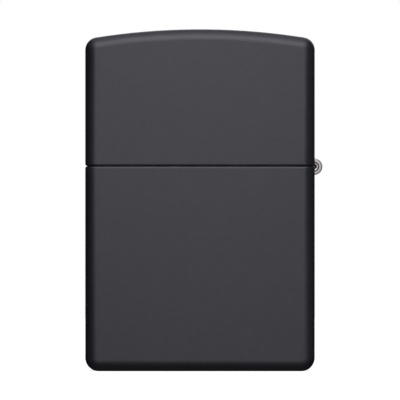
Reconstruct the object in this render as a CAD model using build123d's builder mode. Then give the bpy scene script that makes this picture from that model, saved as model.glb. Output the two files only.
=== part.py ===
from build123d import *
import os

# A flip-top pocket lighter, closed, in millimetres. The origin is the middle of the
# case's underside. +Z is up, the broad faces look along -Y and +Y, the hinge is at +X
# and the flint wheel is at -X.

# ---- Driving dimensions -----------------------------------------------------------

# Case and lid, drawn from one sheet thickness
WIDTH = 37.6
DEPTH = 12.7
HEIGHT = 56.0
WALL = 0.75
CROWN_R = 109.5  # long arc across the lid's top
TOP_CORNER_R = 2.1
BOTTOM_CORNER_R = 2.2
FACE_EDGE_R = 1.85  # rounding between a broad face and the sides
CASE_RIM_Z = 33.56
LID_RIM_Z = 33.59
RIM_EDGE_R = 0.36
RECESS_LENGTH = 30.0  # shallow panel stamped into the underside
RECESS_WIDTH = 6.6
RECESS_DEPTH = 0.25

# Hinge: two leaves rolled round one pin
HINGE_X = 18.7
HINGE_Z = 33.5
LEAF_T = 0.6
LEAF_OUTER_X = WIDTH / 2 - WALL  # the leaves lie on the side walls' inner faces
LEAF_INNER_X = LEAF_OUTER_X - LEAF_T
BORE_R = 0.75
KNUCKLE_R = BORE_R + LEAF_T
PIN_R = 0.7
PIN_CHAMFER = 0.06
PIN_DIMPLE_R = 0.45
PIN_DIMPLE_DEPTH = 0.2
PIN_DIMPLE_TAPER = 60  # degrees from the pin's axis
BARREL_LENGTH = 8.7
KNUCKLES = 5
KNUCKLE_GAP = 0.06
KNUCKLE_CHAMFER = 0.06  # at the bore
KNUCKLE_ROUND = 0.15  # at the outside
STEM = 1.4  # from the axis to the full-width plate of a leaf
STEM_RUN_OUT = 0.5  # where the flat stem has run into the curl
CASE_LEAF_REACH = 10.0
LID_LEAF_REACH = 9.0
LEAF_CORNER_R = 0.8
NOTCH_WIDTH = 9.0  # cut in both side walls for the barrel
NOTCH_REACH = 1.5
NOTCH_START = 0.1  # the notch's cut starts this far inside the side wall
TONGUE_WIDTH = 2.4  # bent in from the lid leaf for the cam's nose
TONGUE_REACH = 1.05
TONGUE_TOP = 3.25  # above the hinge axis
TONGUE_T = 0.5
TONGUE_TIP_R = 0.16
TONGUE_WINDOW_WIDTH = 2.6
TONGUE_WINDOW_TOP = 4.4

# Insert: tank and chimney in one sheet
SHEET = 0.45
INSERT_PLAY = 0.1  # between the insert and what it slides against, each side
TANK_LEFT = -WIDTH / 2 + WALL + INSERT_PLAY
TANK_RIGHT = HINGE_X - KNUCKLE_R - INSERT_PLAY
TANK_DEPTH = DEPTH - 2 * (WALL + INSERT_PLAY)
TANK_CORNER_R = 1.4
TANK_Z = 1.5
TANK_BOTTOM_R = 0.8
TANK_LIP = 1.0  # inward lip round the open bottom
DECK_Z = 35.9
DECK_EDGE_R = 0.7
CHIMNEY_LEFT = -8.2
CHIMNEY_RIGHT = 9.4
CHIMNEY_DEPTH = 9.0
CHIMNEY_CORNER_R = 2.2
CHIMNEY_Z = 52.7
CHIMNEY_BASE_R = 0.25
CHIMNEY_RIM_R = 0.12
AIR_HOLE_R = 1.0
AIR_HOLE_PITCH = 4.4
AIR_HOLE_ROW = 3.6
AIR_HOLES_Z = 46.0
FIT = 0.02  # between pieces that are pressed or riveted together

# Flint wheel and its ears
WHEEL_X = -12.3
WHEEL_Z = 41.7
WHEEL_R = 3.6
WHEEL_WIDTH = 4.6
WHEEL_CHAMFER = 0.3
TEETH = 44
TOOTH_CUT = 0.34
AXLE_R = 1.0
AXLE_BORE_R = 1.05
AXLE_HEAD_R = 1.6
AXLE_HEAD_T = 0.5
AXLE_HEAD_ROUND = 0.35
WHEEL_EAR_Y = 2.5  # inner face of each ear
WHEEL_EAR_R = 2.5
WHEEL_WINDOW_BOTTOM = 36.6
WHEEL_WINDOW_TOP = 46.4
EAR_ROOT = 0.3  # how far an ear reaches into the chimney's end wall
EAR_FOOT = 0.5  # straight stretch of an ear next to the wall

# Cam lever that snaps the lid open and shut
CAM_X = 12.6
CAM_Z = 38.4
CAM_WIDTH = 1.9
CAM_FLAT = 1.55  # from the pivot to each of the two flats
CAM_REACH = 4.7  # from the pivot to the tip of the nose
CAM_NOSE_H = 1.0
CAM_TOP = 1.6
CAM_ROUNDS = (0.7, 0.48, 0.48, 0.8, 0.6, 0.7)  # from the corner between the flats on
CAM_BORE_R = 0.66
CAM_RIVET_R = 0.6
CAM_RIVET_HEAD_R = 1.05
CAM_RIVET_HEAD_T = 0.4
CAM_RIVET_ROUND = 0.25
CAM_EAR_Y = 1.1
CAM_EAR_R = 1.5
CAM_SPRING_T = 0.25
CAM_SPRING_LEFT = 4.6
CAM_SPRING_RIGHT = 15.0
CAM_SPRING_BEND_X = 7.6
CAM_SPRING_BEND_R = 0.8
SPRING_RIVET_X = 6.1
SPRING_RIVET_R = 0.6
SPRING_RIVET_HEAD_R = 1.2
SPRING_RIVET_HEAD_T = 0.5
SPRING_RIVET_TAIL_R = 1.0
SPRING_RIVET_TAIL_T = 0.35

# Plate that closes the tank under the chimney
PLATE_T = 0.5
PLATE_INSET = 0.5
PLATE_CORNER_R = 1.2

# Wick and its eyelet
WICK_X = 1.0
WICK_R = 1.55
WICK_TOP = 41.5
WICK_BEND_R = 13.0
WICK_ROUTE = ((1.0, 30.0), (-1.6, 21.5), (1.8, 12.5), (0.6, 5.5))  # X and Z below its top
WICK_CHANNEL_R = 1.75
EYELET_BORE_R = 1.65
EYELET_SLEEVE_R = 1.95
EYELET_FLANGE_R = 2.35
EYELET_FLANGE_T = 0.6
EYELET_ROUND = 0.28

# Flint system
TUBE_R = 1.9
TUBE_BORE_R = 1.4
TUBE_TOP = 37.2
SOCKET_R = 2.5
SOCKET_BORE_R = 1.85
SOCKET_TOP = 9.0
SOCKET_SHOULDER_R = 0.3
TUBE_BOTTOM = 2.6
FLINT_R = 1.2
FLINT_BOTTOM = 33.45
FLINT_GAP = 0.06  # between the flint's worn top and the wheel
PUSHER_R = 1.25
PUSHER_TOP = 33.4
PUSHER_BOTTOM = 31.0
STUB_R = 0.7
PUSHER_STUB = 0.8
SPRING_MEAN_R = 1.05
SPRING_WIRE_R = 0.18
SPRING_PITCH = 1.5
SCREW_HEAD_R = 2.8
SCREW_HEAD_BOTTOM = 1.6
SCREW_HEAD_TOP = 2.55
SCREW_SLOT_WIDTH = 0.8
SCREW_SLOT_DEPTH = 0.5
SCREW_KNURLS = 24
SCREW_KNURL_CUT = 0.22
THREAD_R = 1.78
THREAD_DEPTH = 0.25
THREAD_PITCH = 0.5
SCREW_TOP = 7.8
SCREW_STUB = 1.0

# Soft filling
PAD_BOTTOM = 2.0
PAD_T = 2.0
PAD_HOLE_R = 3.1
SOFT_GAP = 0.25  # round the pad and the packing
PAD_CORNER_R = 1.0
PACKING_COUNT = 5
PACKING_SPACING = 0.2
PACKING_CORNER_R = 1.6
PACKING_ROUND = 1.4
PACKING_TUBE_GAP = 0.3

CUT = 1.0  # overshoot of a cutting tool


def envelope(inset):
    """The closed lighter's form, with every face moved inward by inset."""
    half_width = WIDTH / 2 - inset
    arc_r = CROWN_R - inset
    side_top = HEIGHT - CROWN_R + (arc_r**2 - half_width**2) ** 0.5
    with BuildPart() as form:
        with BuildSketch(Plane.XZ) as outline:
            with BuildLine():
                left = (-half_width, side_top)
                right = (half_width, side_top)
                Polyline(left, (-half_width, inset), (half_width, inset), right)
                ThreePointArc(right, (0, HEIGHT - inset), left)
            make_face()
            fillet(outline.vertices().group_by(Axis.Y)[-1], TOP_CORNER_R - inset)
            fillet(outline.vertices().group_by(Axis.Y)[0], BOTTOM_CORNER_R - inset)
        extrude(amount=DEPTH / 2 - inset, both=True)
        broad_faces = form.faces().filter_by(Axis.Y)
        fillet(broad_faces.edges(), FACE_EDGE_R - inset)
    return form.part


def rounded_block(left, right, depth, corner_r, bottom, top):
    """An upright block with rounded vertical edges, between two X values."""
    with BuildPart() as block:
        with BuildSketch(Plane.XY.offset(bottom)):
            with Locations(((left + right) / 2, 0)):
                RectangleRounded(right - left, depth, corner_r)
        extrude(amount=top - bottom)
    return block.part


def rivet(x, z, shank_r, half_length, head_r, head_t, head_round):
    """A rivet along Y with a rounded head at each end."""
    with BuildPart() as pin:
        with BuildSketch(Plane.XZ):
            with Locations((x, z)):
                Circle(head_r)
        extrude(amount=half_length + head_t, both=True)
        fillet(pin.edges().filter_by(GeomType.CIRCLE), head_round)
        with BuildSketch(Plane.XZ):
            with Locations((x, z)):
                Circle(head_r + CUT)
                Circle(shank_r, mode=Mode.SUBTRACT)
        extrude(amount=half_length, both=True, mode=Mode.SUBTRACT)
    return pin.part


# ---- Case and lid -----------------------------------------------------------------

outer_form = envelope(0)
cavity_form = envelope(WALL)

with BuildPart() as hinge_notch:
    with BuildSketch(Plane.YZ.offset(LEAF_OUTER_X - NOTCH_START)):
        with Locations((0, HINGE_Z)):
            Rectangle(NOTCH_WIDTH, 2 * NOTCH_REACH)
    extrude(amount=WALL + CUT)

with BuildPart() as case_shell:
    add(outer_form)
    split(bisect_by=Plane.XY.offset(CASE_RIM_Z), keep=Keep.BOTTOM)
    fillet(case_shell.faces().sort_by(Axis.Z)[-1].edges(), RIM_EDGE_R)
    add(cavity_form, mode=Mode.SUBTRACT)
    add(hinge_notch.part, mode=Mode.SUBTRACT)
    with BuildSketch(Plane.XY):
        SlotOverall(RECESS_LENGTH, RECESS_WIDTH)
    extrude(amount=RECESS_DEPTH, mode=Mode.SUBTRACT)

with BuildPart() as lid_shell:
    add(outer_form)
    split(bisect_by=Plane.XY.offset(LID_RIM_Z), keep=Keep.TOP)
    fillet(lid_shell.faces().sort_by(Axis.Z)[0].edges(), RIM_EDGE_R)
    add(cavity_form, mode=Mode.SUBTRACT)
    add(hinge_notch.part, mode=Mode.SUBTRACT)

# ---- Hinge ------------------------------------------------------------------------

KNUCKLE_PITCH = BARREL_LENGTH / KNUCKLES
KNUCKLE_LENGTH = KNUCKLE_PITCH - KNUCKLE_GAP


def knuckle_planes(rows):
    """The middle planes of the knuckles in the given rows, counted from 0."""
    middle = (KNUCKLES - 1) / 2
    return [Plane.XZ.offset((row - middle) * KNUCKLE_PITCH) for row in rows]


def hinge_leaf(rows, reach, corner_r):
    """A leaf that hangs down from the axis: curls, stems and full-width plate."""
    with BuildPart() as leaf:
        with BuildSketch(*knuckle_planes(rows)):
            with Locations((HINGE_X, HINGE_Z)):
                Circle(KNUCKLE_R)
                Circle(BORE_R, mode=Mode.SUBTRACT)
        extrude(amount=KNUCKLE_LENGTH / 2, both=True)
        bore_edges = leaf.edges().filter_by(GeomType.CIRCLE).group_by(SortBy.RADIUS)[0]
        chamfer(bore_edges, KNUCKLE_CHAMFER)
        outer_edges = leaf.edges().filter_by(GeomType.CIRCLE).group_by(SortBy.RADIUS)[-1]
        fillet(outer_edges, KNUCKLE_ROUND)
        with BuildSketch(*knuckle_planes(rows)):
            with Locations((LEAF_INNER_X, HINGE_Z - STEM)):
                Rectangle(LEAF_T, STEM - STEM_RUN_OUT, align=(Align.MIN, Align.MIN))
        extrude(amount=KNUCKLE_LENGTH / 2, both=True)
        with BuildSketch(Plane.YZ.offset(LEAF_INNER_X)) as plate:
            with Locations((0, HINGE_Z - STEM)):
                Rectangle(BARREL_LENGTH, reach - STEM, align=(Align.CENTER, Align.MAX))
            fillet(plate.vertices().group_by(Axis.Y)[0], corner_r)
        extrude(amount=LEAF_T)
    return leaf.part


case_leaf = hinge_leaf((0, 2, 4), CASE_LEAF_REACH, LEAF_CORNER_R)
lid_leaf = hinge_leaf((1, 3), LID_LEAF_REACH, LEAF_CORNER_R)

with BuildPart() as hinge_leaf_case:
    add(case_leaf)

with BuildPart() as hinge_leaf_lid:
    add(mirror(lid_leaf, about=Plane.XY.offset(HINGE_Z), mode=Mode.PRIVATE))
    with BuildSketch(Plane.YZ.offset(LEAF_INNER_X)):
        with Locations((0, HINGE_Z + TONGUE_TOP)):
            Rectangle(
                TONGUE_WINDOW_WIDTH,
                TONGUE_WINDOW_TOP - TONGUE_TOP,
                align=(Align.CENTER, Align.MIN),
            )
    extrude(amount=LEAF_T, mode=Mode.SUBTRACT)
    with BuildSketch(Plane.YZ.offset(LEAF_INNER_X)):
        with Locations((0, HINGE_Z + TONGUE_TOP)):
            Rectangle(TONGUE_WIDTH, TONGUE_T, align=(Align.CENTER, Align.MAX))
    extrude(amount=-TONGUE_REACH)
    tongue_tip = hinge_leaf_lid.faces().sort_by(Axis.X)[0]
    fillet(tongue_tip.edges().filter_by(Axis.Y), TONGUE_TIP_R)

with BuildPart() as hinge_pin:
    with BuildSketch(Plane.XZ):
        with Locations((HINGE_X, HINGE_Z)):
            Circle(PIN_R)
    extrude(amount=BARREL_LENGTH / 2, both=True)
    chamfer(hinge_pin.edges().filter_by(GeomType.CIRCLE), PIN_CHAMFER)
    for end, inward in ((BARREL_LENGTH / 2, -1), (-BARREL_LENGTH / 2, 1)):
        with BuildSketch(Plane.XZ.offset(end)):
            with Locations((HINGE_X, HINGE_Z)):
                Circle(PIN_DIMPLE_R)
        extrude(
            amount=inward * PIN_DIMPLE_DEPTH, taper=PIN_DIMPLE_TAPER, mode=Mode.SUBTRACT
        )

# ---- Insert shell: tank, deck, chimney and ears -----------------------------------

INNER_DEPTH = TANK_DEPTH - 2 * SHEET
tank_outer = rounded_block(
    TANK_LEFT, TANK_RIGHT, TANK_DEPTH, TANK_CORNER_R, TANK_Z, DECK_Z
)
tank_inner = rounded_block(
    TANK_LEFT + SHEET,
    TANK_RIGHT - SHEET,
    INNER_DEPTH,
    TANK_CORNER_R - SHEET,
    TANK_Z + SHEET,
    DECK_Z - SHEET,
)
tank_mouth = rounded_block(
    TANK_LEFT + TANK_LIP,
    TANK_RIGHT - TANK_LIP,
    TANK_DEPTH - 2 * TANK_LIP,
    TANK_CORNER_R - SHEET,
    TANK_Z - CUT,
    TANK_Z + SHEET,
)
chimney_outer = rounded_block(
    CHIMNEY_LEFT, CHIMNEY_RIGHT, CHIMNEY_DEPTH, CHIMNEY_CORNER_R, DECK_Z, CHIMNEY_Z
)
chimney_inner = rounded_block(
    CHIMNEY_LEFT + SHEET,
    CHIMNEY_RIGHT - SHEET,
    CHIMNEY_DEPTH - 2 * SHEET,
    CHIMNEY_CORNER_R - SHEET,
    DECK_Z - SHEET,
    CHIMNEY_Z + CUT,
)

with BuildPart() as tank_space:
    add(tank_inner)
    fillet(tank_space.faces().sort_by(Axis.Z)[-1].edges(), DECK_EDGE_R - SHEET)
    fillet(tank_space.faces().sort_by(Axis.Z)[0].edges(), TANK_BOTTOM_R - SHEET)
    add(tank_mouth)


def ear(x, z, ear_r, wall_x, wall_low, wall_high):
    """Outline of an ear: round about a rivet, widening to the chimney's end wall."""
    toward = 1 if wall_x > x else -1
    foot_x = wall_x - toward * EAR_FOOT
    with BuildSketch(Plane.XZ) as outline:
        with Locations((x, z)):
            Circle(ear_r)
        with Locations(((wall_x + toward * EAR_ROOT + foot_x) / 2, (wall_low + wall_high) / 2)):
            Rectangle(EAR_FOOT + EAR_ROOT, wall_high - wall_low)
        make_hull()
    return outline.sketch


wheel_ear = ear(
    WHEEL_X, WHEEL_Z, WHEEL_EAR_R, CHIMNEY_LEFT, WHEEL_WINDOW_BOTTOM, WHEEL_WINDOW_TOP
)
cam_ear = ear(CAM_X, CAM_Z, CAM_EAR_R, CHIMNEY_RIGHT, CAM_Z - CAM_EAR_R, CAM_Z + CAM_EAR_R)

with BuildPart() as wheel_ears:
    extrude(wheel_ear, amount=WHEEL_EAR_Y + SHEET, both=True)
    extrude(wheel_ear, amount=WHEEL_EAR_Y, both=True, mode=Mode.SUBTRACT)

with BuildPart() as cam_ears:
    extrude(cam_ear, amount=CAM_EAR_Y + SHEET, both=True)
    extrude(cam_ear, amount=CAM_EAR_Y, both=True, mode=Mode.SUBTRACT)

with BuildPart() as insert_shell:
    add(tank_outer)
    fillet(insert_shell.faces().sort_by(Axis.Z)[-1].edges(), DECK_EDGE_R)
    fillet(insert_shell.faces().sort_by(Axis.Z)[0].edges(), TANK_BOTTOM_R)
    deck_edges = insert_shell.faces().sort_by(Axis.Z)[-1].edges()
    add(chimney_outer)
    base_edges = insert_shell.edges().filter_by_position(Axis.Z, DECK_Z, DECK_Z) - deck_edges
    fillet(base_edges, CHIMNEY_BASE_R)
    add(tank_space.part, mode=Mode.SUBTRACT)
    add(chimney_inner, mode=Mode.SUBTRACT)
    fillet(insert_shell.faces().sort_by(Axis.Z)[-1].edges(), CHIMNEY_RIM_R)
    # Windows in the two end walls, which the ears are folded out of
    with BuildSketch(Plane.YZ.offset(CHIMNEY_LEFT - CHIMNEY_BASE_R)):
        with Locations((0, (WHEEL_WINDOW_BOTTOM + WHEEL_WINDOW_TOP) / 2)):
            Rectangle(2 * WHEEL_EAR_Y, WHEEL_WINDOW_TOP - WHEEL_WINDOW_BOTTOM)
    extrude(amount=CUT, mode=Mode.SUBTRACT)
    with BuildSketch(Plane.YZ.offset(CHIMNEY_RIGHT + CHIMNEY_BASE_R)):
        with Locations((0, DECK_Z)):
            Rectangle(
                2 * CAM_EAR_Y, CAM_Z + CAM_EAR_R - DECK_Z, align=(Align.CENTER, Align.MIN)
            )
    extrude(amount=-CUT, mode=Mode.SUBTRACT)
    add(wheel_ears.part)
    add(cam_ears.part)
    # Three rows of air holes through both broad sides, three, two and three
    with BuildSketch(Plane.XZ):
        with Locations(((CHIMNEY_LEFT + CHIMNEY_RIGHT) / 2, AIR_HOLES_Z)):
            with GridLocations(AIR_HOLE_PITCH, 2 * AIR_HOLE_ROW, 3, 2):
                Circle(AIR_HOLE_R)
            with GridLocations(AIR_HOLE_PITCH, 0, 2, 1):
                Circle(AIR_HOLE_R)
    extrude(amount=TANK_DEPTH, both=True, mode=Mode.SUBTRACT)
    # Rivet holes in the ears and the flint tube's hole in the deck
    with BuildSketch(Plane.XZ):
        with Locations((WHEEL_X, WHEEL_Z)):
            Circle(AXLE_R + FIT)
        with Locations((CAM_X, CAM_Z)):
            Circle(CAM_RIVET_R + FIT)
    extrude(amount=TANK_DEPTH, both=True, mode=Mode.SUBTRACT)
    with BuildSketch(Plane.XY.offset(DECK_Z - SHEET)):
        with Locations((WHEEL_X, 0)):
            Circle(TUBE_R + FIT)
    extrude(amount=SHEET, mode=Mode.SUBTRACT)

# ---- Plate, wick and eyelet -------------------------------------------------------

PLATE_TOP = DECK_Z - SHEET
PLATE_BOTTOM = PLATE_TOP - PLATE_T

with BuildPart() as top_plate:
    with BuildSketch(Plane.XY.offset(PLATE_BOTTOM)):
        with Locations(((TANK_LEFT + TANK_RIGHT) / 2, 0)):
            RectangleRounded(
                TANK_RIGHT - TANK_LEFT - 2 * (SHEET + PLATE_INSET),
                INNER_DEPTH - 2 * PLATE_INSET,
                PLATE_CORNER_R,
            )
        with Locations((WICK_X, 0)):
            Circle(EYELET_SLEEVE_R + FIT, mode=Mode.SUBTRACT)
        with Locations((WHEEL_X, 0)):
            Circle(TUBE_R + FIT, mode=Mode.SUBTRACT)
        with Locations((SPRING_RIVET_X, 0)):
            Circle(SPRING_RIVET_R + FIT, mode=Mode.SUBTRACT)
    extrude(amount=PLATE_T)

with BuildPart() as wick_eyelet:
    with BuildSketch(Plane.XY.offset(PLATE_TOP)):
        with Locations((WICK_X, 0)):
            Circle(EYELET_FLANGE_R)
    extrude(amount=EYELET_FLANGE_T)
    fillet(wick_eyelet.edges().filter_by(GeomType.CIRCLE).sort_by(Axis.Z)[-1], EYELET_ROUND)
    with BuildSketch(Plane.XY.offset(PLATE_BOTTOM - EYELET_FLANGE_T)):
        with Locations((WICK_X, 0)):
            Circle(EYELET_SLEEVE_R)
    extrude(amount=PLATE_T + EYELET_FLANGE_T)
    with BuildSketch(Plane.XY.offset(PLATE_BOTTOM - EYELET_FLANGE_T)):
        with Locations((WICK_X, 0)):
            Circle(EYELET_BORE_R)
    extrude(amount=PLATE_T + 2 * EYELET_FLANGE_T, mode=Mode.SUBTRACT)
    fillet(wick_eyelet.edges().filter_by(GeomType.CIRCLE).sort_by(Axis.Z)[-1], EYELET_ROUND)

# The wick's route: straight up through the eyelet, wandering a little in the packing
with BuildLine(Plane.XZ) as wick_route:
    FilletPolyline((WICK_X, WICK_TOP), *WICK_ROUTE, radius=WICK_BEND_R)

WICK_END = Plane(origin=(WICK_X, 0, WICK_TOP), z_dir=(0, 0, -1))

with BuildPart() as wick:
    with BuildSketch(WICK_END):
        Circle(WICK_R)
    sweep(path=wick_route.wire())

with BuildPart() as wick_channel:
    with BuildSketch(WICK_END):
        Circle(WICK_CHANNEL_R)
    sweep(path=wick_route.wire())

# ---- Flint wheel ------------------------------------------------------------------

with BuildPart() as flint_wheel:
    with BuildSketch(Plane.XZ):
        with Locations((WHEEL_X, WHEEL_Z)):
            Circle(WHEEL_R)
    extrude(amount=WHEEL_WIDTH / 2, both=True)
    chamfer(flint_wheel.edges().filter_by(GeomType.CIRCLE), WHEEL_CHAMFER)
    with BuildSketch(Plane.XZ):
        with Locations((WHEEL_X, WHEEL_Z)):
            with PolarLocations(WHEEL_R, TEETH):
                Rectangle(TOOTH_CUT, TOOTH_CUT, rotation=45)
            Circle(AXLE_BORE_R)
    extrude(amount=WHEEL_WIDTH, both=True, mode=Mode.SUBTRACT)

wheel_rivet = rivet(
    WHEEL_X, WHEEL_Z, AXLE_R, WHEEL_EAR_Y + SHEET, AXLE_HEAD_R, AXLE_HEAD_T, AXLE_HEAD_ROUND
)
with BuildPart() as wheel_axle:
    add(wheel_rivet)

# ---- Cam lever and its spring -----------------------------------------------------

with BuildPart() as cam_lever:
    with BuildSketch(Plane(origin=(CAM_X, 0, CAM_Z), x_dir=(1, 0, 0), z_dir=(0, -1, 0))):
        with BuildLine():
            FilletPolyline(
                (-CAM_FLAT, -CAM_FLAT),
                (CAM_REACH, -CAM_FLAT),
                (CAM_REACH, CAM_NOSE_H - CAM_FLAT),
                (CAM_FLAT, CAM_FLAT / 4),
                (CAM_FLAT / 2, CAM_TOP),
                (-CAM_FLAT, CAM_TOP),
                radius=CAM_ROUNDS,
                close=True,
            )
        make_face()
        Circle(CAM_BORE_R, mode=Mode.SUBTRACT)
    extrude(amount=CAM_WIDTH / 2, both=True)

lever_rivet = rivet(
    CAM_X,
    CAM_Z,
    CAM_RIVET_R,
    CAM_EAR_Y + SHEET,
    CAM_RIVET_HEAD_R,
    CAM_RIVET_HEAD_T,
    CAM_RIVET_ROUND,
)
with BuildPart() as cam_rivet:
    add(lever_rivet)

SPRING_LOW_Z = PLATE_TOP + CAM_SPRING_T
SPRING_HIGH_Z = CAM_Z - CAM_FLAT

with BuildPart() as cam_spring:
    with BuildSketch(Plane.XZ):
        with BuildLine() as leaf_top:
            FilletPolyline(
                (CAM_SPRING_LEFT, SPRING_LOW_Z),
                (CAM_SPRING_BEND_X, SPRING_LOW_Z),
                (CAM_SPRING_BEND_X + SPRING_HIGH_Z - SPRING_LOW_Z, SPRING_HIGH_Z),
                (CAM_SPRING_RIGHT, SPRING_HIGH_Z),
                radius=CAM_SPRING_BEND_R,
            )
            offset(amount=CAM_SPRING_T, side=Side.RIGHT, closed=True)
        make_face()
    extrude(amount=CAM_WIDTH / 2, both=True)
    with BuildSketch(Plane.XY.offset(PLATE_TOP)):
        with Locations((SPRING_RIVET_X, 0)):
            Circle(SPRING_RIVET_R + FIT)
    extrude(amount=2 * CAM_SPRING_T, mode=Mode.SUBTRACT)

with BuildPart() as spring_rivet:
    with BuildSketch(Plane.XY.offset(SPRING_LOW_Z)):
        with Locations((SPRING_RIVET_X, 0)):
            Circle(SPRING_RIVET_HEAD_R)
    extrude(amount=SPRING_RIVET_HEAD_T)
    fillet(spring_rivet.edges().sort_by(Axis.Z)[-1], SPRING_RIVET_HEAD_T / 2)
    with BuildSketch(Plane.XY.offset(PLATE_BOTTOM)):
        with Locations((SPRING_RIVET_X, 0)):
            Circle(SPRING_RIVET_R)
    extrude(amount=SPRING_LOW_Z - PLATE_BOTTOM)
    with BuildSketch(Plane.XY.offset(PLATE_BOTTOM)):
        with Locations((SPRING_RIVET_X, 0)):
            Circle(SPRING_RIVET_TAIL_R)
    extrude(amount=-SPRING_RIVET_TAIL_T)

# ---- Flint tube, flint, pusher, spring and screw ----------------------------------

with BuildPart() as flint_tube:
    with BuildSketch(Plane.XY.offset(TUBE_BOTTOM)):
        with Locations((WHEEL_X, 0)):
            Circle(SOCKET_R)
            Circle(SOCKET_BORE_R, mode=Mode.SUBTRACT)
    extrude(amount=SOCKET_TOP - TUBE_BOTTOM)
    with BuildSketch(Plane.XY.offset(SOCKET_TOP)):
        with Locations((WHEEL_X, 0)):
            Circle(SOCKET_R)
            Circle(TUBE_BORE_R, mode=Mode.SUBTRACT)
    extrude(amount=SOCKET_R - TUBE_R)
    fillet(flint_tube.edges().filter_by(GeomType.CIRCLE).sort_by(Axis.Z)[-1], SOCKET_SHOULDER_R)
    with BuildSketch(Plane.XY.offset(SOCKET_TOP)):
        with Locations((WHEEL_X, 0)):
            Circle(TUBE_R)
            Circle(TUBE_BORE_R, mode=Mode.SUBTRACT)
    extrude(amount=TUBE_TOP - SOCKET_TOP)

with BuildPart() as flint:
    with BuildSketch(Plane.XY.offset(FLINT_BOTTOM)):
        with Locations((WHEEL_X, 0)):
            Circle(FLINT_R)
    extrude(amount=WHEEL_Z - FLINT_BOTTOM)
    with BuildSketch(Plane.XZ):
        with Locations((WHEEL_X, WHEEL_Z)):
            Circle(WHEEL_R + FLINT_GAP)
    extrude(amount=WHEEL_WIDTH, both=True, mode=Mode.SUBTRACT)

with BuildPart() as flint_pusher:
    with BuildSketch(Plane.XY.offset(PUSHER_BOTTOM)):
        with Locations((WHEEL_X, 0)):
            Circle(PUSHER_R)
    extrude(amount=PUSHER_TOP - PUSHER_BOTTOM)
    with BuildSketch(Plane.XY.offset(PUSHER_BOTTOM)):
        with Locations((WHEEL_X, 0)):
            Circle(STUB_R)
    extrude(amount=-PUSHER_STUB)

coil_start = SCREW_TOP + SPRING_WIRE_R
coil_height = PUSHER_BOTTOM - SCREW_TOP - 2 * SPRING_WIRE_R

with BuildPart() as flint_spring:
    with BuildLine():
        coil = Helix(SPRING_PITCH, coil_height, SPRING_MEAN_R, center=(WHEEL_X, 0, coil_start))
    with BuildSketch(Plane(origin=coil @ 0, z_dir=coil % 0)):
        Circle(SPRING_WIRE_R)
    sweep(path=coil, is_frenet=True)

THREAD_COUNT = int((SCREW_TOP - SCREW_HEAD_TOP) / THREAD_PITCH)

with BuildPart() as flint_screw:
    with BuildSketch(Plane.XY.offset(SCREW_HEAD_BOTTOM)):
        with Locations((WHEEL_X, 0)):
            Circle(SCREW_HEAD_R)
            with PolarLocations(SCREW_HEAD_R, SCREW_KNURLS):
                Circle(SCREW_KNURL_CUT, mode=Mode.SUBTRACT)
    extrude(amount=SCREW_HEAD_TOP - SCREW_HEAD_BOTTOM)
    with BuildSketch(Plane.XY.offset(SCREW_HEAD_BOTTOM)):
        with Locations((WHEEL_X, 0)):
            Rectangle(2 * SCREW_HEAD_R + CUT, SCREW_SLOT_WIDTH)
    extrude(amount=SCREW_SLOT_DEPTH, mode=Mode.SUBTRACT)
    # Shank with one V-shaped groove for each turn of the thread
    with BuildSketch(Plane.XZ):
        with BuildLine():
            profile = [(WHEEL_X, SCREW_HEAD_TOP), (WHEEL_X + THREAD_R, SCREW_HEAD_TOP)]
            for turn in range(THREAD_COUNT):
                groove_z = SCREW_HEAD_TOP + (turn + 0.5) * THREAD_PITCH
                profile.append((WHEEL_X + THREAD_R, groove_z - THREAD_DEPTH / 2))
                profile.append((WHEEL_X + THREAD_R - THREAD_DEPTH, groove_z))
                profile.append((WHEEL_X + THREAD_R, groove_z + THREAD_DEPTH / 2))
            profile.append((WHEEL_X + THREAD_R, SCREW_TOP))
            profile.append((WHEEL_X + STUB_R, SCREW_TOP))
            profile.append((WHEEL_X + STUB_R, SCREW_TOP + SCREW_STUB))
            profile.append((WHEEL_X, SCREW_TOP + SCREW_STUB))
            Polyline(*profile, close=True)
        make_face()
    revolve(axis=Axis((WHEEL_X, 0, 0), (0, 0, 1)))

# ---- Soft filling -----------------------------------------------------------------

SOFT_LEFT = TANK_LEFT + SHEET + SOFT_GAP
SOFT_RIGHT = TANK_RIGHT - SHEET - SOFT_GAP
SOFT_DEPTH = INNER_DEPTH - 2 * SOFT_GAP

with BuildPart() as felt_pad:
    with BuildSketch(Plane.XY.offset(PAD_BOTTOM)):
        with Locations(((SOFT_LEFT + SOFT_RIGHT) / 2, 0)):
            RectangleRounded(SOFT_RIGHT - SOFT_LEFT, SOFT_DEPTH, PAD_CORNER_R)
        with Locations((WHEEL_X, 0)):
            Circle(PAD_HOLE_R, mode=Mode.SUBTRACT)
    extrude(amount=PAD_T)

packing_low = PAD_BOTTOM + PAD_T + PACKING_SPACING
packing_high = PLATE_BOTTOM - EYELET_FLANGE_T - PACKING_SPACING
packing_pitch = (packing_high - packing_low + PACKING_SPACING) / PACKING_COUNT


def packing_ball(index):
    """One wad of packing, pressed to the tank's shape, round the wick and the tube."""
    bottom = packing_low + index * packing_pitch
    top = bottom + packing_pitch - PACKING_SPACING
    tube_r = SOCKET_R if bottom < SOCKET_TOP + PACKING_SPACING else TUBE_R
    block = rounded_block(SOFT_LEFT, SOFT_RIGHT, SOFT_DEPTH, PACKING_CORNER_R, bottom, top)
    with BuildPart() as ball:
        add(block)
        fillet(ball.faces().filter_by(Axis.Z).edges(), PACKING_ROUND)
        with BuildSketch(Plane.XY.offset(bottom)):
            with Locations((WHEEL_X, 0)):
                Circle(tube_r + PACKING_TUBE_GAP)
        extrude(amount=top - bottom, mode=Mode.SUBTRACT)
        add(wick_channel.part, mode=Mode.SUBTRACT)
    return ball.part


# ---- Labels and files -------------------------------------------------------------

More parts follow.
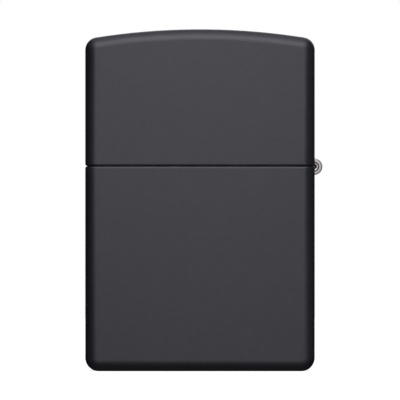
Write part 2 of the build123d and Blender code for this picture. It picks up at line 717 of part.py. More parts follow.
pieces = {
    "case_shell": case_shell.part,
    "lid_shell": lid_shell.part,
    "hinge_leaf_case": hinge_leaf_case.part,
    "hinge_leaf_lid": hinge_leaf_lid.part,
    "hinge_pin": hinge_pin.part,
    "insert_shell": insert_shell.part,
    "top_plate": top_plate.part,
    "wick_eyelet": wick_eyelet.part,
    "wick": wick.part,
    "flint_wheel": flint_wheel.part,
    "wheel_axle": wheel_axle.part,
    "cam_lever": cam_lever.part,
    "cam_rivet": cam_rivet.part,
    "cam_spring": cam_spring.part,
    "spring_rivet": spring_rivet.part,
    "flint_tube": flint_tube.part,
    "flint": flint.part,
    "flint_pusher": flint_pusher.part,
    "flint_spring": flint_spring.part,
    "flint_screw": flint_screw.part,
    "felt_pad": felt_pad.part,
}
for number in range(PACKING_COUNT):
    pieces[f"packing_{number + 1}"] = packing_ball(number)

os.makedirs("parts", exist_ok=True)
for name, piece in pieces.items():
    piece.label = name
    export_step(piece, f"parts/{name}.step")
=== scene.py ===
import math
import random

import bpy
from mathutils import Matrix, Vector, noise
from mathutils.bvhtree import BVHTree


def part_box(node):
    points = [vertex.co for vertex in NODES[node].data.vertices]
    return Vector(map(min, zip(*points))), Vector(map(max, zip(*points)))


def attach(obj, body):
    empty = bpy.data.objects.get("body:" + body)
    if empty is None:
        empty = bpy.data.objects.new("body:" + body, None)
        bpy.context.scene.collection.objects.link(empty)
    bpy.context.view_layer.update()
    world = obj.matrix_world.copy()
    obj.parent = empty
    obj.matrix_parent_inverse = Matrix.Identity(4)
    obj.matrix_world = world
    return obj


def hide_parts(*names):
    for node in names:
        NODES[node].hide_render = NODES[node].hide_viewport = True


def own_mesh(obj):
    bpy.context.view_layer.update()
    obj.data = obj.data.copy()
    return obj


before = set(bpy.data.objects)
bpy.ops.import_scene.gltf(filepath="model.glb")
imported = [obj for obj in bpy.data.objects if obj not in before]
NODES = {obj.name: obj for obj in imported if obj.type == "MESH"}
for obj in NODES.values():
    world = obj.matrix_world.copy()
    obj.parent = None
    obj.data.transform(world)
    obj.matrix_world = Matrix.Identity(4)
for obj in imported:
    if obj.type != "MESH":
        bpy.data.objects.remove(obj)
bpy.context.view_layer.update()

MM = 0.001


# ---- Node helpers -----------------------------------------------------------------


def shader_node(material, kind, inputs=None, **settings):
    """Adds a node. An input's value is a number, a colour or another node's socket."""
    made = material.node_tree.nodes.new(kind)
    for name, value in settings.items():
        setattr(made, name, value)
    for name, value in (inputs or {}).items():
        if isinstance(value, bpy.types.NodeSocket):
            material.node_tree.links.new(value, made.inputs[name])
        else:
            made.inputs[name].default_value = value
    return made


def new_material(name):
    """A material with its main shader: (material, principled node)."""
    made = bpy.data.materials.new(name)
    made.use_nodes = True
    return made, made.node_tree.nodes["Principled BSDF"]


def object_space(material, scale=(1, 1, 1)):
    """Object coordinates in metres, stretched by scale."""
    place = shader_node(material, "ShaderNodeTexCoord")
    stretch = shader_node(
        material, "ShaderNodeMapping", {"Vector": place.outputs["Object"], "Scale": scale}
    )
    return stretch.outputs["Vector"]


def noise_field(material, space, feature, detail=2.0, roughness=0.5):
    """Soft noise whose features are about so many metres across, as a 0 to 1 socket."""
    made = shader_node(
        material,
        "ShaderNodeTexNoise",
        {"Vector": space, "Scale": 1 / feature, "Detail": detail, "Roughness": roughness},
    )
    return made.outputs["Fac"]


NOISE_LOW, NOISE_HIGH = 0.3, 0.7  # nearly all of a noise field lies between these


def spread(material, value, low, high):
    """Stretches a noise field's middle over the range from low to high."""
    made = shader_node(
        material,
        "ShaderNodeMapRange",
        {
            "Value": value,
            "From Min": NOISE_LOW,
            "From Max": NOISE_HIGH,
            "To Min": low,
            "To Max": high,
        },
    )
    return made.outputs["Result"]


# A mix node's sockets for colours, by number because its sockets share their names
MIX_FACTOR, MIX_FIRST, MIX_SECOND = 0, 6, 7
MIX_RESULT = 2


def mix_colours(material, factor, first, second):
    """Colour that goes from first to second as factor goes from 0 to 1."""
    made = shader_node(material, "ShaderNodeMix", data_type="RGBA")
    links = material.node_tree.links
    links.new(factor, made.inputs[MIX_FACTOR])
    for index, colour in ((MIX_FIRST, first), (MIX_SECOND, second)):
        if isinstance(colour, bpy.types.NodeSocket):
            links.new(colour, made.inputs[index])
        else:
            made.inputs[index].default_value = (*colour, 1.0)
    return made.outputs[MIX_RESULT]


def bump(material, height, depth, below=None):
    """Turns a height field into a normal, depth metres deep, over another normal."""
    inputs = {"Height": height, "Distance": depth}
    if below is not None:
        inputs["Normal"] = below
    return shader_node(material, "ShaderNodeBump", inputs).outputs["Normal"]


def connect(material, socket, shader, name):
    material.node_tree.links.new(socket, shader.inputs[name])


# ---- Materials --------------------------------------------------------------------

PAINT_DARK = (0.0098, 0.0102, 0.0124)
PAINT_LIGHT = (0.0168, 0.0171, 0.0202)
PAINT_ROUGHNESS = (0.44, 0.50)
PAINT_SPECULAR = 0.8
GRAIN_SIZE = 0.16 * MM
GRAIN_DEPTH = 2.6e-6
PEEL_SIZE = 1.1 * MM
PEEL_DEPTH = 3.0e-6
CLOUD_SIZE = 5 * MM
CLOUD_SHARE = 0.25  # of the paint's mottle: the orange peel makes the rest


def black_paint():
    """Matte powder paint: charcoal with a fine grain and faint cloudiness."""
    made, shader = new_material("black_paint")
    space = object_space(made)
    grain = noise_field(made, space, GRAIN_SIZE, detail=3.0, roughness=0.6)
    orange_peel = noise_field(made, space, PEEL_SIZE, detail=3.0, roughness=0.6)
    cloud = noise_field(made, space, CLOUD_SIZE)
    mottle = shader_node(
        made,
        "ShaderNodeMath",
        {
            0: spread(made, orange_peel, 0, 1 - CLOUD_SHARE),
            1: spread(made, cloud, 0, CLOUD_SHARE),
        },
        operation="ADD",
    ).outputs["Value"]
    connect(made, mix_colours(made, mottle, PAINT_DARK, PAINT_LIGHT), shader, "Base Color")
    connect(made, spread(made, grain, *PAINT_ROUGHNESS), shader, "Roughness")
    shader.inputs["Specular IOR Level"].default_value = PAINT_SPECULAR
    relief = bump(made, orange_peel, PEEL_DEPTH)
    connect(made, bump(made, grain, GRAIN_DEPTH, relief), shader, "Normal")
    return made


SMUDGE_SIZE = 4 * MM
MARK_SIZE = 0.1 * MM
POLISHED_MARKS, BRUSHED_MARKS = 0.3e-6, 0.8e-6  # depth of the tool marks, in metres
EVEN = (1, 1, 1)
ALONG_X = (0.03, 1, 1)
ALONG_Z = (1, 1, 0.03)


def metal(name, dark, light, smooth, rough, streak=EVEN, depth=POLISHED_MARKS):
    """Bare metal with smudges and fine tool marks. streak stretches the marks: a small
    number along an axis makes them long that way. smooth and rough are the roughness
    where the metal is dark and where it is light."""
    made, shader = new_material(name)
    smudge = noise_field(made, object_space(made), SMUDGE_SIZE)
    marks = noise_field(made, object_space(made, streak), MARK_SIZE, detail=3.0)
    connect(made, mix_colours(made, smudge, dark, light), shader, "Base Color")
    connect(made, spread(made, smudge, smooth, rough), shader, "Roughness")
    connect(made, bump(made, marks, depth), shader, "Normal")
    shader.inputs["Metallic"].default_value = 1.0
    return made


BRASS_DARK = (0.42, 0.29, 0.12)
BRASS_LIGHT = (0.55, 0.40, 0.18)
BRASS_ROUGHNESS = (0.32, 0.45)
TARNISH_SIZE = 3 * MM
SPECKLE_SIZE = 0.35 * MM
SPECKLE_DEPTH = 1.5e-6
SPECKLE_SWING = 0.35  # how far the specks move the drifted paint's edge, in overspray depths


def sprayed_brass(name, rim_z, depth):
    """Bare brass inside a shell, with paint that drifted in and thins out depth metres
    from the rim."""
    made, shader = new_material(name)
    space = object_space(made)
    place = shader_node(made, "ShaderNodeTexCoord")
    height = shader_node(
        made, "ShaderNodeSeparateXYZ", {"Vector": place.outputs["Object"]}
    ).outputs["Z"]
    drift = shader_node(
        made,
        "ShaderNodeMapRange",
        {"Value": height, "From Min": rim_z, "From Max": rim_z + depth},
    ).outputs["Result"]
    speckle = noise_field(made, space, SPECKLE_SIZE, detail=4.0, roughness=0.7)
    bare = shader_node(
        made,
        "ShaderNodeMath",
        {0: drift, 1: spread(made, speckle, -SPECKLE_SWING, SPECKLE_SWING)},
        operation="ADD",
        use_clamp=True,
    ).outputs["Value"]
    tarnish = noise_field(made, space, TARNISH_SIZE, detail=4.0)
    brass_colour = mix_colours(made, tarnish, BRASS_DARK, BRASS_LIGHT)
    connect(made, mix_colours(made, bare, PAINT_DARK, brass_colour), shader, "Base Color")
    connect(made, bare, shader, "Metallic")
    connect(made, spread(made, tarnish, *BRASS_ROUGHNESS), shader, "Roughness")
    connect(made, bump(made, speckle, SPECKLE_DEPTH), shader, "Normal")
    return made


FIBRE_ROUGHNESS = (0.85, 1.0)
FIBRE_SPECULAR = 0.2
SHEEN = 0.25
SHEEN_ROUGHNESS = 0.5
CLUMP_HAIRS = 8  # a clump's width in hairs
CLUMP_RISE = 4  # a clump's height in hairs


def fibres(name, dark, light, hair, depth):
    """Matted or spun fibre: rough, with soft sheen and relief from hairs that are hair
    metres across and depth metres deep."""
    made, shader = new_material(name)
    hairs = noise_field(made, object_space(made), hair, detail=5.0, roughness=0.7)
    clumps = noise_field(made, object_space(made), CLUMP_HAIRS * hair, detail=3.0)
    connect(made, mix_colours(made, spread(made, clumps, 0, 1), dark, light), shader, "Base Color")
    connect(made, spread(made, hairs, *FIBRE_ROUGHNESS), shader, "Roughness")
    relief = bump(made, clumps, CLUMP_RISE * depth)
    connect(made, bump(made, hairs, depth, relief), shader, "Normal")
    shader.inputs["Specular IOR Level"].default_value = FIBRE_SPECULAR
    shader.inputs["Sheen Weight"].default_value = SHEEN
    shader.inputs["Sheen Roughness"].default_value = SHEEN_ROUGHNESS
    return made


FLINT_DARK = (0.06, 0.06, 0.065)
FLINT_LIGHT = (0.16, 0.155, 0.15)
FLINT_ROUGHNESS = (0.45, 0.7)
FLINT_METALLIC = 0.7
PIT_SIZE = 0.08 * MM
PIT_DEPTH = 6e-6


def flint_alloy():
    """Dark sintered alloy with a pitted, grainy skin."""
    made, shader = new_material("flint_alloy")
    pits = noise_field(made, object_space(made), PIT_SIZE, detail=4.0, roughness=0.7)
    connect(made, mix_colours(made, pits, FLINT_DARK, FLINT_LIGHT), shader, "Base Color")
    connect(made, spread(made, pits, *FLINT_ROUGHNESS), shader, "Roughness")
    connect(made, bump(made, pits, PIT_DEPTH), shader, "Normal")
    shader.inputs["Metallic"].default_value = FLINT_METALLIC
    return made


# Painted shade round the hinge pin: the ramp below darkens the hinge metals' colour in the pin's
# dimple and in the crevice round the pin
PIN_SHADE_REACH = 1.5 * MM  # the colour ramp's length, from the pin's axis outward
PIN_SHADE_PATCH = 0.3 * MM
PIN_SHADE_WANDER = 0.03 * MM  # how far the rings stray from round
PIN_SHADE_STOPS = (  # millimetres from the pin's axis, and the share of the metal's brightness left
    (0.25, 0.45),
    (0.48, 0.95),
    (0.58, 0.95),
    (0.66, 0.12),
    (0.76, 0.06),
    (0.84, 0.95),
    (1.00, 1.0),
    (1.15, 0.78),
    (1.40, 0.75),
)


def painted_shade_round_pin(material):
    """Darkens a hinge metal by its distance from the pin's axis: painted shade in the pin's dimple
    and in the crevice round the pin, a ring at the pin's edge left bright, then darker again
    towards the outside."""
    low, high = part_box("hinge_pin")
    place = shader_node(material, "ShaderNodeTexCoord")
    from_axis = shader_node(
        material,
        "ShaderNodeVectorMath",
        {0: place.outputs["Object"], 1: (low + high) / 2},
        operation="SUBTRACT",
    )
    across = shader_node(
        material,
        "ShaderNodeVectorMath",
        {0: from_axis.outputs["Vector"], 1: (1, 0, 1)},
        operation="MULTIPLY",
    )
    distance = shader_node(
        material, "ShaderNodeVectorMath", {0: across.outputs["Vector"]}, operation="LENGTH"
    )
    patchy = noise_field(material, object_space(material), PIN_SHADE_PATCH, detail=3.0)
    wandering = shader_node(
        material,
        "ShaderNodeMath",
        {
            0: distance.outputs["Value"],
            1: spread(material, patchy, -PIN_SHADE_WANDER, PIN_SHADE_WANDER),
        },
        operation="ADD",
    )
    share = shader_node(
        material,
        "ShaderNodeMapRange",
        {"Value": wandering.outputs["Value"], "From Min": 0.0, "From Max": PIN_SHADE_REACH},
    )
    ramp = shader_node(material, "ShaderNodeValToRGB", {"Fac": share.outputs["Result"]})
    stops = ramp.color_ramp.elements
    while len(stops) < len(PIN_SHADE_STOPS):
        stops.new(1.0)
    for stop, (radius, bright) in zip(stops, PIN_SHADE_STOPS):
        stop.position = radius * MM / PIN_SHADE_REACH
        stop.color = (bright, bright, bright, 1)
    shader = material.node_tree.nodes["Principled BSDF"]
    own_colour = shader.inputs["Base Color"].links[0].from_socket
    # the metal's own colour times the ramp: painted shade in the dimple and the crevice
    shaded_colour = shader_node(material, "ShaderNodeMix", data_type="RGBA", blend_type="MULTIPLY")
    shaded_colour.inputs[MIX_FACTOR].default_value = 1.0
    material.node_tree.links.new(own_colour, shaded_colour.inputs[MIX_FIRST])
    material.node_tree.links.new(ramp.outputs["Color"], shaded_colour.inputs[MIX_SECOND])
    connect(material, shaded_colour.outputs[MIX_RESULT], shader, "Base Color")


paint = black_paint()
nickel = metal(
    "hinge_nickel", dark=(0.44, 0.415, 0.365), light=(0.54, 0.51, 0.45), smooth=0.30, rough=0.42
)
pin_metal = metal(
    "pin_metal", dark=(0.48, 0.45, 0.39), light=(0.58, 0.545, 0.475), smooth=0.28, rough=0.38
)
painted_shade_round_pin(nickel)
painted_shade_round_pin(pin_metal)
stainless = metal(
    "insert_stainless",
    dark=(0.53, 0.53, 0.52),
    light=(0.60, 0.60, 0.58),
    smooth=0.28,
    rough=0.33,
    streak=ALONG_Z,
    depth=BRUSHED_MARKS,
)
zinc = metal(
    "plate_zinc",
    dark=(0.40, 0.41, 0.42),
    light=(0.55, 0.56, 0.56),
    smooth=0.34,
    rough=0.46,
    depth=BRUSHED_MARKS,
)
brass = metal(
    "turned_brass",
    dark=(0.55, 0.39, 0.16),
    light=(0.72, 0.54, 0.26),
    smooth=0.22,
    rough=0.34,
    streak=ALONG_X,
)
wheel_metal = metal(
    "wheel_hard_steel", dark=(0.20, 0.20, 0.20), light=(0.34, 0.34, 0.33), smooth=0.30, rough=0.45
)
rivet_metal = metal(
    "rivet_polished", dark=(0.62, 0.61, 0.59), light=(0.76, 0.75, 0.73), smooth=0.12, rough=0.22
)
cam_metal = metal(
    "cam_satin",
    dark=(0.48, 0.47, 0.46),
    light=(0.60, 0.59, 0.57),
    smooth=0.26,
    rough=0.38,
    streak=ALONG_X,
    depth=BRUSHED_MARKS,
)
spring_metal = metal(
    "spring_bright", dark=(0.50, 0.50, 0.50), light=(0.66, 0.66, 0.65), smooth=0.18, rough=0.30
)
copper = metal(
    "copper_thread", dark=(0.55, 0.25, 0.14), light=(0.80, 0.42, 0.26), smooth=0.25, rough=0.40
)
cotton = fibres(
    "wick_cotton", dark=(0.50, 0.45, 0.36), light=(0.78, 0.74, 0.66), hair=0.05 * MM, depth=8e-6
)
felt = fibres(
    "felt", dark=(0.26, 0.26, 0.27), light=(0.42, 0.42, 0.43), hair=0.12 * MM, depth=2e-5
)
wadding = fibres(
    "wadding", dark=(0.72, 0.71, 0.68), light=(0.86, 0.85, 0.82), hair=0.15 * MM, depth=3e-5
)

# ---- CAD nodes: shading and finishes ----------------------------------------------

SMOOTH_ANGLE = math.radians(35)
WELD_DISTANCE = 1e-7
FLAT_FACE_WEIGHT = 100


def smooth_shading(obj):
    """Smooth curved faces and crisp edges, with flat faces kept flat."""
    obj.data.shade_smooth()
    weld = obj.modifiers.new("weld", "WELD")
    weld.merge_threshold = WELD_DISTANCE
    crisp = obj.modifiers.new("crisp_edges", "EDGE_SPLIT")
    crisp.split_angle = SMOOTH_ANGLE
    crisp.use_edge_sharp = False
    weighted = obj.modifiers.new("weighted_normals", "WEIGHTED_NORMAL")
    weighted.weight = FLAT_FACE_WEIGHT


def finish_with(material, *nodes):
    """Gives CAD nodes one material. Nodes that a finer piece stands in for need none."""
    for name in nodes:
        NODES[name].data.materials.clear()
        NODES[name].data.materials.append(material)


for cad in NODES.values():
    smooth_shading(cad)

finish_with(nickel, "hinge_leaf_case", "hinge_leaf_lid")
finish_with(pin_metal, "hinge_pin")
finish_with(stainless, "insert_shell")
finish_with(zinc, "top_plate")
finish_with(brass, "wick_eyelet", "flint_tube", "flint_pusher", "flint_screw")
finish_with(rivet_metal, "wheel_axle", "cam_rivet", "spring_rivet")
finish_with(cam_metal, "cam_lever")
finish_with(spring_metal, "cam_spring")
finish_with(flint_alloy(), "flint")

# ---- Painted outside, bare inside -------------------------------------------------

case_low, case_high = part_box("case_shell")
lid_low, lid_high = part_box("lid_shell")
middle_z = (case_low.z + lid_high.z) / 2
SPINE_INSET = 3 * MM  # from the shells' sides, top and bottom to the edge of the middle plane
OVERSPRAY = 7 * MM  # how far paint drifted in from the rims


def paint_outside(node, inner):
    """Paint on the faces that turn away from the lighter's middle plane, inner on the
    rest."""
    mesh = NODES[node].data
    mesh.materials.clear()
    mesh.materials.append(paint)
    mesh.materials.append(inner)
    half_width = case_high.x - SPINE_INSET
    low_z, high_z = case_low.z + SPINE_INSET, lid_high.z - SPINE_INSET
    for face in mesh.polygons:
        x, _, z = face.center
        middle = Vector(
            (min(max(x, -half_width), half_width), 0, min(max(z, low_z), high_z))
        )
        face.material_index = int(face.normal.dot(face.center - middle) < 0)


paint_outside("case_shell", sprayed_brass("case_inside", case_high.z, -OVERSPRAY))
paint_outside("lid_shell", sprayed_brass("lid_inside", lid_low.z, OVERSPRAY))

# ---- Mesh helpers -----------------------------------------------------------------


def add_piece(name, points, faces, material, body):
    """A new mesh that rides on a body and takes its finish from a slot."""
    mesh = bpy.data.meshes.new(name)
    mesh.from_pydata(points, [], faces)
    mesh.validate()
    mesh.materials.append(material)
    obj = bpy.data.objects.new(name, mesh)
    bpy.context.scene.collection.objects.link(obj)
    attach(obj, body)
    return obj


def add_grid(faces, first, rows, columns, closed_rows=False):
    """Quads over a grid of points from index first. Columns always close into a ring."""
    for row in range(rows if closed_rows else rows - 1):
        after = (row + 1) % rows
        for column in range(columns):
            beside = (column + 1) % columns
            faces.append(
                (
                    first + row * columns + column,
                    first + row * columns + beside,
                    first + after * columns + beside,
                    first + after * columns + column,
                )
            )


def add_tube(points, faces, line, outward, half_width, half_depth, sides):
    """An oval tube along line. outward gives each point's depth direction."""
    first = len(points)
    for index, middle in enumerate(line):
        ahead = line[min(index + 1, len(line) - 1)] - line[max(index - 1, 0)]
        depth_way = outward[index].normalized()
        width_way = ahead.cross(depth_way).normalized()
        for side in range(sides):
            turn = math.tau * side / sides
            points.append(
                middle
                + width_way * (half_width * math.cos(turn))
                + depth_way * (half_depth * math.sin(turn))
            )
    add_grid(faces, first, len(line), sides)
    faces.append(tuple(first + side for side in range(sides)))
    last = first + (len(line) - 1) * sides
    faces.append(tuple(last + side for side in reversed(range(sides))))


# ---- Flint wheel with a diamond knurl ---------------------------------------------

wheel_low, wheel_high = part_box("flint_wheel")
wheel_middle = (wheel_low + wheel_high) / 2
wheel_r = (wheel_high.z - wheel_low.z) / 2
wheel_half = (wheel_high.y - wheel_low.y) / 2

KNURL_TEETH = 44
KNURL_DEPTH = 0.24 * MM
KNURL_LEAD = 0.72 * MM  # across the wheel, one tooth to the next
KNURL_STEPS = 8  # mesh columns to one tooth
KNURL_ROWS = 56
KNURL_CREASE = math.radians(30)
WHEEL_EDGE = 0.3 * MM
WHEEL_BORE_R = 1.05 * MM
HUB_R = 2.1 * MM
HUB_STEP = 0.12 * MM


def knurl_cut(turn, across):
    """How deep the two crossing sets of grooves cut, from 0 on a tooth's tip to 1."""
    rising = (KNURL_TEETH * turn + across / KNURL_LEAD) % 1
    falling = (KNURL_TEETH * turn - across / KNURL_LEAD) % 1
    return max(abs(2 * rising - 1), abs(2 * falling - 1))


def knurled_wheel():
    points, faces = [], []
    columns = KNURL_TEETH * KNURL_STEPS
    reach = wheel_half - WHEEL_EDGE
    side = [  # (radius, y, toothed), from the bore outward
        (WHEEL_BORE_R, -wheel_half, False),
        (HUB_R - HUB_STEP, -wheel_half, False),
        (HUB_R, -wheel_half + HUB_STEP, False),
        (wheel_r - WHEEL_EDGE - HUB_STEP, -wheel_half + HUB_STEP, False),
        (wheel_r - WHEEL_EDGE, -wheel_half + HUB_STEP, False),
    ]
    rim = [
        (wheel_r, -reach + 2 * reach * row / KNURL_ROWS, True) for row in range(KNURL_ROWS + 1)
    ]
    profile = side + rim + [(r, -y, False) for r, y, _ in reversed(side)]
    for radius, y, toothed in profile:
        for column in range(columns):
            turn = column / columns
            r = radius - (KNURL_DEPTH * knurl_cut(turn, y) if toothed else 0)
            angle = math.tau * turn
            points.append(
                wheel_middle + Vector((r * math.cos(angle), y, r * math.sin(angle)))
            )
    add_grid(faces, 0, len(profile), columns, closed_rows=True)
    wheel = add_piece("knurled_wheel", points, faces, wheel_metal, "wheel")
    wheel.data.shade_smooth()
    wheel.data.set_sharp_from_angle(angle=KNURL_CREASE)
    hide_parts("flint_wheel")


knurled_wheel()

# ---- Flint spring ------------------------------------------------------------------

SPRING_WIRE_R = 0.18 * MM
CLOSED_TURNS = 1.5  # lying against each other at each end
OPEN_TURNS = 14
CLOSED_PITCH = 2.1 * SPRING_WIRE_R
STEPS_A_TURN = 28
WIRE_SIDES = 10
WIRE_CREASE = math.radians(50)


def coil_spring():
    """An open coil with closed ends. It stands on the screw and is pressed from above."""
    low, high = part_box("flint_spring")
    mean_r = (high.x - low.x) / 2 - SPRING_WIRE_R
    middle = Vector(((low.x + high.x) / 2, (low.y + high.y) / 2, low.z + SPRING_WIRE_R))
    closed = CLOSED_TURNS * CLOSED_PITCH
    open_pitch = (high.z - low.z - 2 * SPRING_WIRE_R - 2 * closed) / OPEN_TURNS
    turns = OPEN_TURNS + 2 * CLOSED_TURNS
    line, outward = [], []
    for step in range(int(turns * STEPS_A_TURN) + 1):
        turn = step / STEPS_A_TURN
        opened = min(max(turn - CLOSED_TURNS, 0), OPEN_TURNS)
        height = (turn - opened) * CLOSED_PITCH + opened * open_pitch
        out = Vector((math.cos(math.tau * turn), math.sin(math.tau * turn), 0))
        line.append(middle + out * mean_r + Vector((0, 0, height)))
        outward.append(out)
    points, faces = [], []
    add_tube(points, faces, line, outward, SPRING_WIRE_R, SPRING_WIRE_R, WIRE_SIDES)
    coil = add_piece(
        "flint_coil_spring", points, faces, spring_metal, "screw_carriage"
    )
    coil.data.shade_smooth()
    coil.data.set_sharp_from_angle(angle=WIRE_CREASE)
    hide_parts("flint_spring")
    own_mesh(coil)


coil_spring()

# ---- Braided wick -----------------------------------------------------------------

STRANDS = 8  # each way
BRAID_LEAD = 8.2 * MM  # up the wick, one strand's whole turn
STRAND_HALF_WIDTH = 0.30 * MM
STRAND_HALF_DEPTH = 0.13 * MM
BRAID_WAVE = 0.09 * MM
BRAID_STEP = 0.16 * MM
STRAND_SIDES = 8
CORE_R = 1.12 * MM
CORE_STEP = 4 * BRAID_STEP
CORE_SIDES = 20
FRAYED = 0.35 * MM  # how far the strands' ends fall short of the wick's top
THREADS = 3
THREAD_R = 0.05 * MM
THREAD_WAVE = 0.3 * THREAD_R
THREAD_WAY = 0.5  # turns of a thread to one of a strand
THREAD_SIDES = 6
TUFTS = 130
TUFT_INNERMOST = 0.02  # share of the wick's section that has no tufts, round its middle
TUFT_LEAN = 0.18  # millimetres
TUFT_GATHER = 0.06  # how far a tuft's tip draws in, as a share of its radius
TUFT_STEPS = 4
TUFT_R = (0.03, 0.07)  # millimetres
TUFT_SIDES = 5
rng = random.Random(11)

wick_low, wick_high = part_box("wick")
wick_surface = BVHTree.FromObject(NODES["wick"], bpy.context.evaluated_depsgraph_get())


def wick_slice(z):
    """The wick's middle at a height, and its half-width there."""
    left = wick_surface.ray_cast(Vector((wick_low.x - MM, 0, z)), Vector((1, 0, 0)))[0]
    right = wick_surface.ray_cast(Vector((wick_high.x + MM, 0, z)), Vector((-1, 0, 0)))[0]
    return Vector(((left.x + right.x) / 2, 0, z)), (right.x - left.x) / 2


wick_r = wick_slice(wick_high.z - MM)[1]
strand_r = wick_r - STRAND_HALF_DEPTH - BRAID_WAVE


def wick_axis(low, high, step):
    """Points up the wick's middle, about step apart."""
    count = max(int((high - low) / step), 2)
    return [wick_slice(low + (high - low) * index / count)[0] for index in range(count + 1)]


def round_the_wick(axis, radii, start, way):
    """A line that winds round the axis: its points and their outward directions."""
    line, outward = [], []
    for middle, radius in zip(axis, radii):
        angle = start + way * math.tau * (wick_high.z - middle.z) / BRAID_LEAD
        out = Vector((math.cos(angle), math.sin(angle), 0))
        line.append(middle + out * radius)
        outward.append(out)
    return line, outward


def braided_wick():
    axis = wick_axis(wick_low.z + STRAND_HALF_WIDTH, wick_high.z - FRAYED, BRAID_STEP)
    crossing = BRAID_LEAD / (2 * STRANDS)
    points, faces = [], []
    for way in (1, -1):
        radii = [
            strand_r + way * BRAID_WAVE * math.cos(math.pi * (wick_high.z - p.z) / crossing)
            for p in axis
        ]
        for strand in range(STRANDS):
            line, outward = round_the_wick(axis, radii, math.tau * strand / STRANDS, way)
            add_tube(
                points,
                faces,
                line,
                outward,
                STRAND_HALF_WIDTH,
                STRAND_HALF_DEPTH,
                STRAND_SIDES,
            )
    braid = add_piece("wick_braid", points, faces, cotton, "case")
    braid.data.shade_smooth()
    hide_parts("wick")

    core_axis = wick_axis(wick_low.z + STRAND_HALF_WIDTH, wick_high.z - 2 * FRAYED, CORE_STEP)
    points, faces = [], []
    ways = [Vector((0, 1, 0))] * len(core_axis)
    add_tube(points, faces, core_axis, ways, CORE_R, CORE_R, CORE_SIDES)
    core = add_piece("wick_core", points, faces, cotton, "case")
    core.data.shade_smooth()

    points, faces = [], []
    for thread in range(THREADS):
        radii = [wick_r - THREAD_R + THREAD_WAVE * math.sin(p.z / BRAID_STEP) for p in axis]
        start = math.tau * (thread + 0.5) / THREADS
        line, outward = round_the_wick(axis, radii, start, THREAD_WAY)
        add_tube(points, faces, line, outward, THREAD_R, THREAD_R, THREAD_SIDES)
    threads = add_piece("wick_threads", points, faces, copper, "case")
    threads.data.shade_smooth()

    points, faces = [], []
    foot = wick_high.z - 3 * FRAYED
    middle = wick_slice(foot)[0]
    for _ in range(TUFTS):
        angle = rng.uniform(0, math.tau)
        radius = strand_r * math.sqrt(rng.uniform(TUFT_INNERMOST, 1))
        lean = Vector((rng.uniform(-1, 1), rng.uniform(-1, 1), 0)) * TUFT_LEAN * MM
        out = Vector((math.cos(angle), math.sin(angle), 0))
        tip = wick_high.z - foot - rng.uniform(0, FRAYED)
        line = []
        for step in range(TUFT_STEPS + 1):
            share = step / TUFT_STEPS
            gathered = out * radius * (1 - TUFT_GATHER * share)
            line.append(middle + gathered + lean * share**2 + Vector((0, 0, tip * share)))
        thick = rng.uniform(*TUFT_R) * MM
        add_tube(points, faces, line, [out] * len(line), thick, thick, TUFT_SIDES)
    tufts = add_piece("wick_tufts", points, faces, cotton, "case")
    tufts.data.shade_smooth()


braided_wick()

# ---- Felt pad and packing ---------------------------------------------------------

LUMP_SETS = 3
LUMP_STEP = 2.0  # how many times finer each set of lumps is than the one before
LUMP_FALL = 0.9  # how fast the finer sets get weaker


def soft_copy(node, name, material, voxel, relief, feature):
    """A padded piece with a CAD node's form and an uneven skin, sunk in by up to relief."""
    mesh = NODES[node].data.copy()
    mesh.name = name
    obj = bpy.data.objects.new(name, mesh)
    bpy.context.scene.collection.objects.link(obj)
    remesh = obj.modifiers.new("remesh", "REMESH")
    remesh.mode = "VOXEL"
    remesh.voxel_size = voxel
    depsgraph = bpy.context.evaluated_depsgraph_get()
    made = bpy.data.meshes.new_from_object(obj.evaluated_get(depsgraph))
    obj.modifiers.clear()
    obj.data = made
    made.materials.clear()
    made.materials.append(material)
    normals = [vertex.normal.copy() for vertex in made.vertices]
    for vertex, normal in zip(made.vertices, normals):
        wave = noise.fractal(vertex.co / feature, LUMP_FALL, LUMP_STEP, LUMP_SETS)
        vertex.co -= normal * relief * (0.5 + 0.5 * max(min(wave, 1), -1))
    made.shade_smooth()
    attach(obj, "case")
    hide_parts(node)


soft_copy(
    "felt_pad",
    "felt_slab",
    felt,
    voxel=0.3 * MM,
    relief=0.18 * MM,
    feature=0.8 * MM,
)
for node in sorted(name for name in NODES if name.startswith("packing_")):
    soft_copy(
        node,
        node.replace("packing", "wad"),
        wadding,
        voxel=0.4 * MM,
        relief=0.5 * MM,
        feature=1.6 * MM,
    )

# ---- Camera -----------------------------------------------------------------------

LENS_DISTANCE = 0.9
FRAME_HEIGHT = 65.38 * MM  # at the lighter's front face
AIM_ABOVE_MIDDLE = 0.04 * MM
SENSOR = 36.0
CLIP_END = 10

camera_data = bpy.data.cameras.new("camera")
camera_data.sensor_width = SENSOR
camera_data.lens = SENSOR * LENS_DISTANCE / FRAME_HEIGHT
camera_data.clip_end = CLIP_END
camera = bpy.data.objects.new("camera", camera_data)
camera.location = (0, case_low.y - LENS_DISTANCE, middle_z + AIM_ABOVE_MIDDLE)
camera.rotation_euler = (math.radians(90), 0, 0)
bpy.context.scene.collection.objects.link(camera)
bpy.context.scene.camera = camera

# ---- Lights: places and sizes in metres -------------------------------------------

LIGHT_TINT = (1.0, 1.0, 1.12)
FRONT_Y = -0.20  # the plane of the front panels
TALL_HALF_WIDTH = 0.05
TALL_LIGHT = (  # low edge, high edge and radiance of each step
    (-0.15, -0.07, 0.25),
    (-0.07, -0.01, 0.4),
    (-0.01, 0.05, 1.15),
    (0.05, 0.11, 1.95),
    (0.11, 0.18, 3.05),
)


def softbox(name, place, target, size, radiance):
    """A soft rectangular light that faces target. size is (width, height)."""
    data = bpy.data.lights.new(name, "AREA")
    data.shape = "RECTANGLE"
    data.size, data.size_y = size
    data.energy = radiance * math.pi * size[0] * size[1]
    data.color = LIGHT_TINT
    light = bpy.data.objects.new(name, data)
    light.location = place
    light.rotation_euler = (Vector(target) - Vector(place)).to_track_quat("-Z", "Y").to_euler()
    light.visible_camera = False
    bpy.context.scene.collection.objects.link(light)


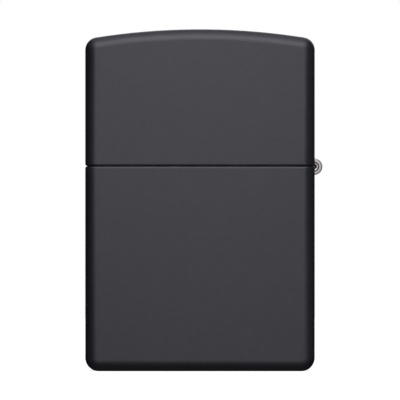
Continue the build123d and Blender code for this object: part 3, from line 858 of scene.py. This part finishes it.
def front_panel(name, left, right, low, high, radiance):
    """A softbox in the plane in front of the lighter, facing straight back."""
    place = Vector(((left + right) / 2, FRONT_Y, (low + high) / 2))
    ahead = place - Vector((0, FRONT_Y, 0))
    softbox(name, place, ahead, (right - left, high - low), radiance)


# One tall light that grows brighter upward, with dimmer wings low on both sides
for number, (low, high, radiance) in enumerate(TALL_LIGHT, start=1):
    front_panel(f"front_{number}", -TALL_HALF_WIDTH, TALL_HALF_WIDTH, low, high, radiance)
front_panel("left_wing", left=-0.11, right=-TALL_HALF_WIDTH, low=-0.01, high=0.05, radiance=0.5)
front_panel("right_wing", left=TALL_HALF_WIDTH, right=0.20, low=-0.07, high=-0.01, radiance=0.8)

centre = Vector((0, 0, middle_z))
softbox("top", place=(0, -0.30, 0.37), target=centre, size=(0.45, 0.25), radiance=2.8)
softbox("overhead", place=(0, 0, 0.55), target=centre, size=(0.50, 0.30), radiance=0.95)
softbox("right_fill", place=(0.50, -0.05, 0.10), target=centre, size=(0.30, 0.30), radiance=0.15)
softbox("table_bounce", place=(0, 0.02, -0.20), target=centre, size=(0.50, 0.40), radiance=0.06)
softbox("back", place=(0.05, 0.50, 0.25), target=centre, size=(0.6, 0.6), radiance=1.0)

# ---- Stage ------------------------------------------------------------------------

ROOM_LIGHT = (0.006, 0.006, 0.0066)  # what the lighter gets from the dark studio round it
WHITE = (1, 1, 1, 1)
FLOOR_HALF = 0.4
FLOOR_Z = -0.05 * MM  # just clear of the underside
FLOOR_COLOUR = (0.9, 0.9, 0.9, 1)
FLOOR_GLOW = 0.85

world = bpy.data.worlds.new("studio")
bpy.context.scene.world = world
world.use_nodes = True
tree = world.node_tree
background = tree.nodes["Background"]
background.inputs["Color"].default_value = (*ROOM_LIGHT, 1)
seen = tree.nodes.new("ShaderNodeBackground")
seen.inputs["Color"].default_value = WHITE
path = tree.nodes.new("ShaderNodeLightPath")
blend = tree.nodes.new("ShaderNodeMixShader")
tree.links.new(path.outputs["Is Camera Ray"], blend.inputs["Fac"])
tree.links.new(background.outputs["Background"], blend.inputs[1])
tree.links.new(seen.outputs["Background"], blend.inputs[2])
tree.links.new(blend.outputs["Shader"], tree.nodes["World Output"].inputs["Surface"])

floor_mesh = bpy.data.meshes.new("floor")
corners = [
    (side_x * FLOOR_HALF, side_y * FLOOR_HALF, FLOOR_Z)
    for side_x, side_y in ((-1, -1), (1, -1), (1, 1), (-1, 1))
]
floor_mesh.from_pydata(corners, [], [(0, 1, 2, 3)])
floor = bpy.data.objects.new("floor", floor_mesh)
bpy.context.scene.collection.objects.link(floor)
floor_material, floor_shader = new_material("floor")
floor_shader.inputs["Base Color"].default_value = FLOOR_COLOUR
floor_shader.inputs["Roughness"].default_value = 1.0
floor_shader.inputs["Specular IOR Level"].default_value = 0.0
floor_shader.inputs["Emission Color"].default_value = WHITE
floor_shader.inputs["Emission Strength"].default_value = FLOOR_GLOW
floor_mesh.materials.append(floor_material)
floor.visible_diffuse = False
floor.visible_glossy = False
floor.visible_shadow = False

bpy.context.scene.view_settings.view_transform = "Standard"
